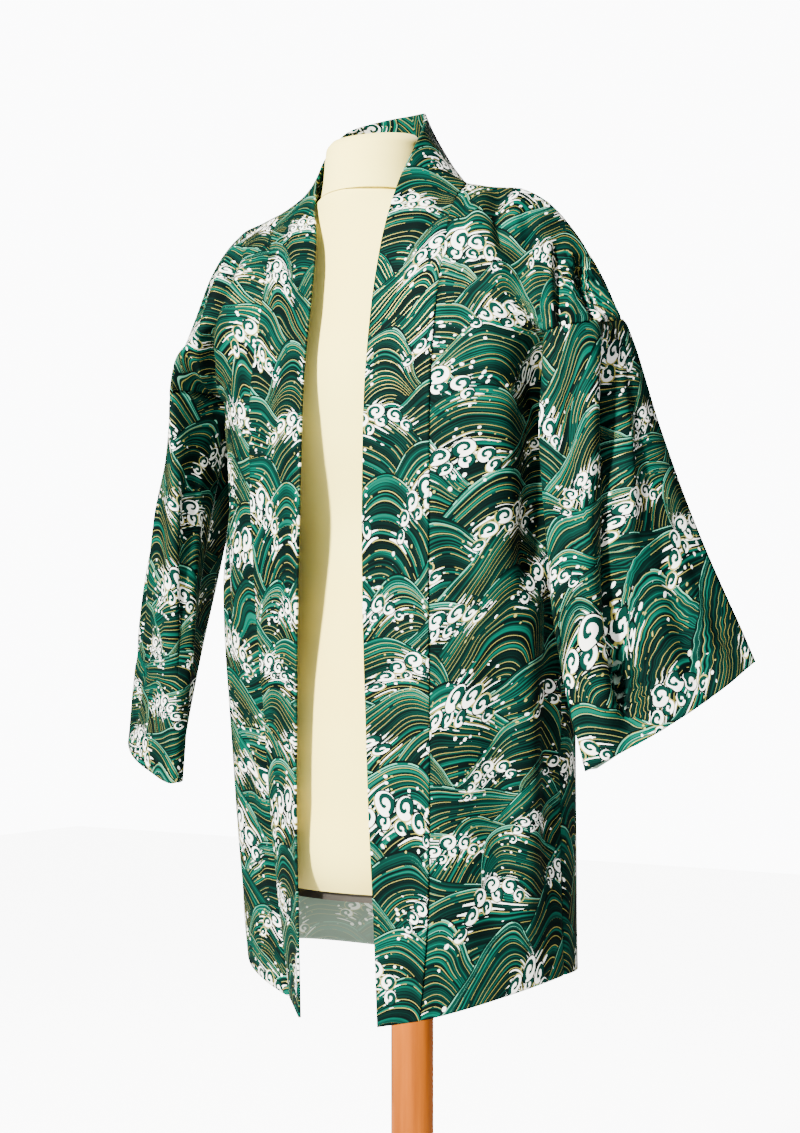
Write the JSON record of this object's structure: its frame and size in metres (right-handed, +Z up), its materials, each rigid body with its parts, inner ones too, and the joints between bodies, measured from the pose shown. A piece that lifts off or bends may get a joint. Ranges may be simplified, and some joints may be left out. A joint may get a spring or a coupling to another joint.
{
  "type": "haori jacket on dress form",
  "caption": "Hip-length haori jacket in printed cotton with drop sleeves and an open front band, draped on a cloth-covered dress form with a pole stand.",
  "frame": {"origin": "centre of the stand base's underside, on the pole's axis, on the floor", "axes": "+Z up along the pole, -Y towards the jacket's front, +X towards the wearer's left sleeve"},
  "size_m": [0.727, 0.35, 1.5035],
  "materials": {
    "printed_cotton": "smooth woven cotton with a wave print, matte",
    "form_cover": "plain cream cotton stretched over a firm moulded body",
    "form_board": "dark stained board",
    "stand_wood": "amber varnish, satin"
  },
  "bodies": {
    "root": {"back": "printed_cotton", "collar_band": "printed_cotton", "front_left": "printed_cotton", "front_right": "printed_cotton", "sleeve_left": "printed_cotton", "sleeve_right": "printed_cotton", "form_torso": "form_cover", "form_neck_cap": "form_cover", "form_base_board": "form_board", "stand_pole": "stand_wood", "stand_base": "stand_wood"}
  },
  "joints": []
}
